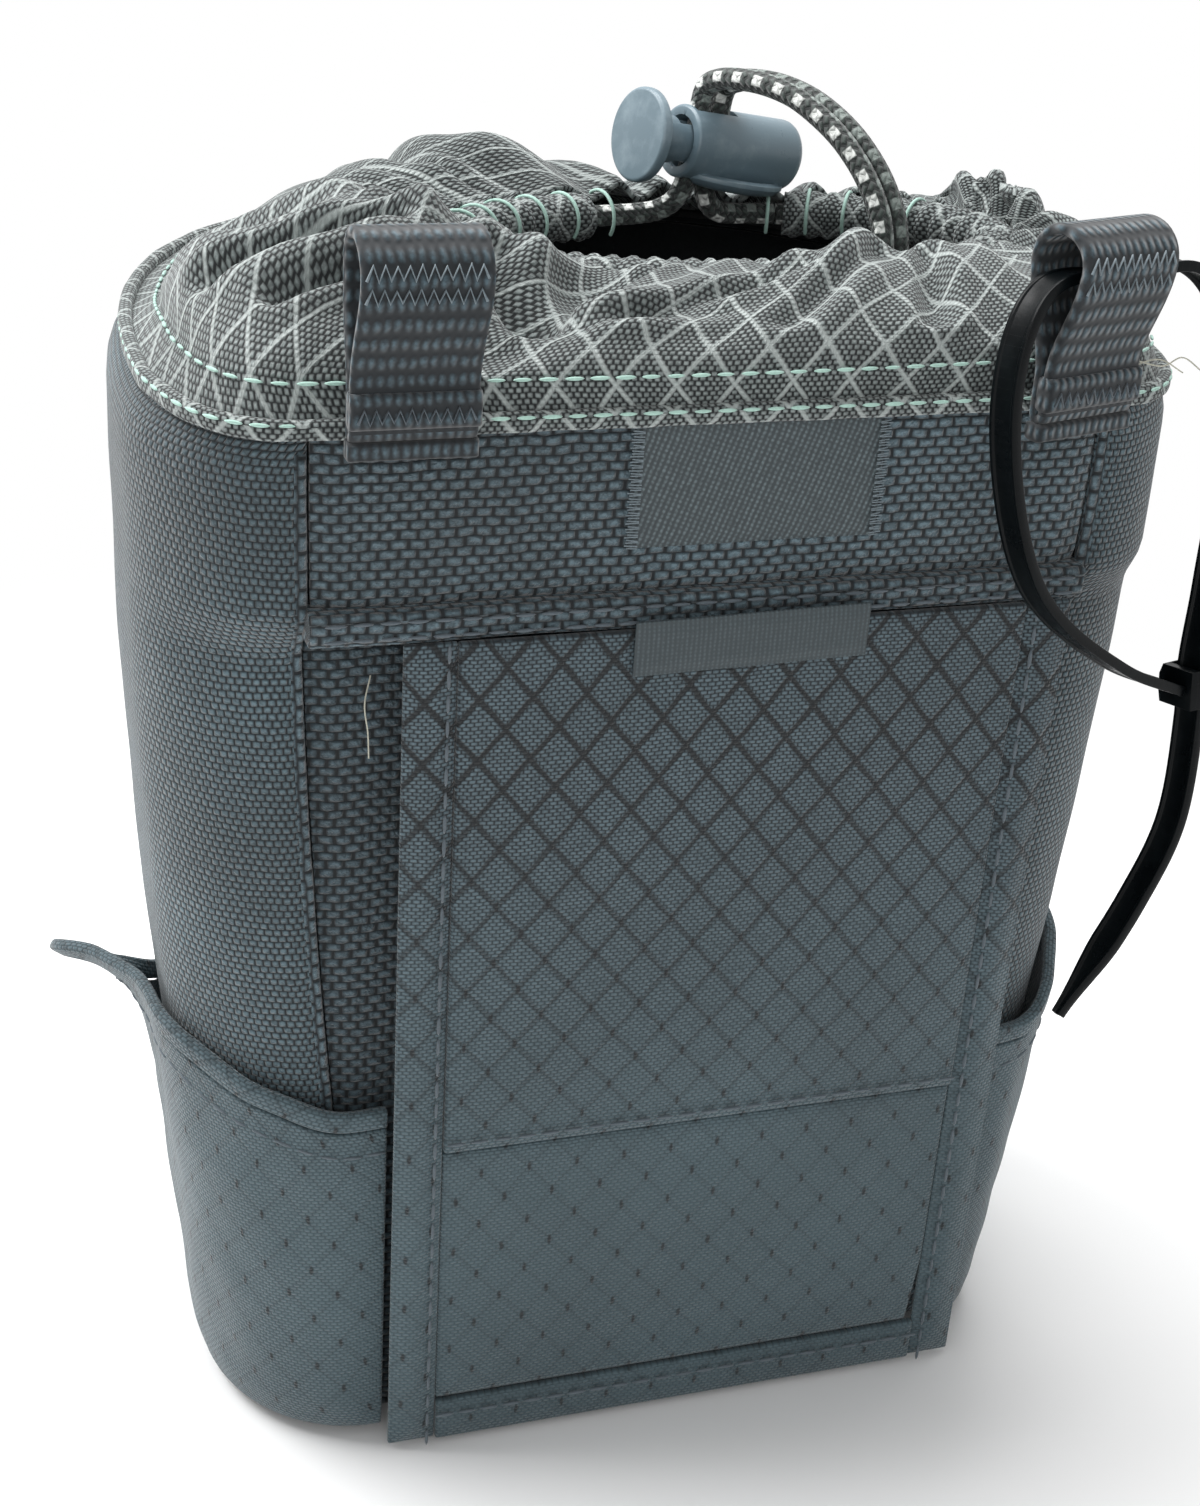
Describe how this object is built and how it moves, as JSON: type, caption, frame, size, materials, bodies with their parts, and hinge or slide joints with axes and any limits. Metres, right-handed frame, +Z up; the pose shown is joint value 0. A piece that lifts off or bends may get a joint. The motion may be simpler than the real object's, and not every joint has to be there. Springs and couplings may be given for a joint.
{
  "type": "lens pouch",
  "caption": "Padded drawcord pouch for a camera lens, D-shaped in plan, with a belt sleeve on its flat side, side pockets and webbing loops.",
  "frame": {"origin": "middle of the base panel's underside, on the surface that the pouch stands on", "axes": "+Z up, -Y out of the flat belt side, +X to the right when facing the belt side"},
  "size_m": [0.1305, 0.107, 0.1521],
  "materials": {
    "ballistic_nylon": "woven",
    "foam": "foam",
    "lining": "woven",
    "ripstop": "ripstop weave",
    "collar_ripstop": "ripstop weave",
    "elastic_cord": "braided",
    "lock_plastic": "satin",
    "spring_steel": "drawn",
    "webbing": "ribbed weave",
    "tie_nylon": "satin",
    "label_tape": "woven, bare"
  },
  "bodies": {
    "pouch": {"base_panel": "ballistic_nylon", "belt_panel": "ballistic_nylon", "top_band_panel": "ballistic_nylon", "left_side_panel": "ballistic_nylon", "right_side_panel": "ballistic_nylon", "rounded_panel": "ballistic_nylon", "top_welt": "ballistic_nylon", "base_pad": "foam", "belt_side_pad": "foam", "top_band_pad": "foam", "left_pad": "foam", "right_pad": "foam", "rounded_pad": "foam", "lining_wall": "lining", "lining_floor": "lining", "top_facing": "lining", "sleeve_left_strip": "ripstop", "sleeve_right_strip": "ripstop", "sleeve_upper_panel": "ripstop", "sleeve_lower_panel": "ripstop", "sleeve_bottom_hem": "ripstop", "left_front_seam": "ballistic_nylon", "right_front_seam": "ballistic_nylon", "woven_label": "label_tape", "tab_label": "label_tape", "left_pocket": "ripstop", "left_pocket_hem": "ripstop", "right_pocket": "ripstop", "right_pocket_hem": "ripstop", "collar": "collar_ripstop", "collar_hem": "collar_ripstop", "cord_channel": "collar_ripstop", "drawcord": "elastic_cord", "drawcord_left_end": "elastic_cord", "drawcord_right_end": "elastic_cord", "cord_end_knot": "elastic_cord", "left_webbing_foot": "webbing", "right_webbing_foot": "webbing"},
    "cord_lock": {"cord_lock_barrel": "lock_plastic", "cord_lock_spring": "spring_steel"},
    "lock_button": {"cord_lock_button": "lock_plastic"},
    "left_loop": {"left_webbing_loop": "webbing"},
    "right_loop": {"right_webbing_loop": "webbing"},
    "cable_tie": {"cable_tie_strap": "tie_nylon", "cable_tie_head": "tie_nylon"}
  },
  "joints": [
    {"name": "cord_lock_slide", "type": "slide", "parent": "pouch", "child": "cord_lock", "axis": [0.1702, 0.0431, 0.9845], "range_m": [0, 0.0012]},
    {"name": "lock_button_press", "type": "slide", "parent": "cord_lock", "child": "lock_button", "axis": [0.9544, 0.2415, -0.1754], "range_m": [0, 0.002], "stiffness_N_per_m": 600, "springref_m": -0.003},
    {"name": "left_loop_hinge", "type": "hinge", "parent": "pouch", "child": "left_loop", "pos_m": [-0.0335, -0.0459, 0.1272], "axis": [1, 0, 0], "range_deg": [0, 60], "stiffness_Nm_per_rad": 0.002},
    {"name": "right_loop_hinge", "type": "hinge", "parent": "pouch", "child": "right_loop", "pos_m": [0.0373, -0.0479, 0.1272], "axis": [0.9659, 0.2588, 0], "range_deg": [0, 40], "stiffness_Nm_per_rad": 0.002},
    {"name": "cable_tie_swing", "type": "hinge", "parent": "right_loop", "child": "cable_tie", "pos_m": [0.04068, -0.04699, 0.1409], "axis": [0.9659, 0.2588, 0], "range_deg": [-40, 0]}
  ],
  "couplings": [
    {"joint": "cable_tie_swing", "follows": "right_loop_hinge", "ratio": -1}
  ]
}
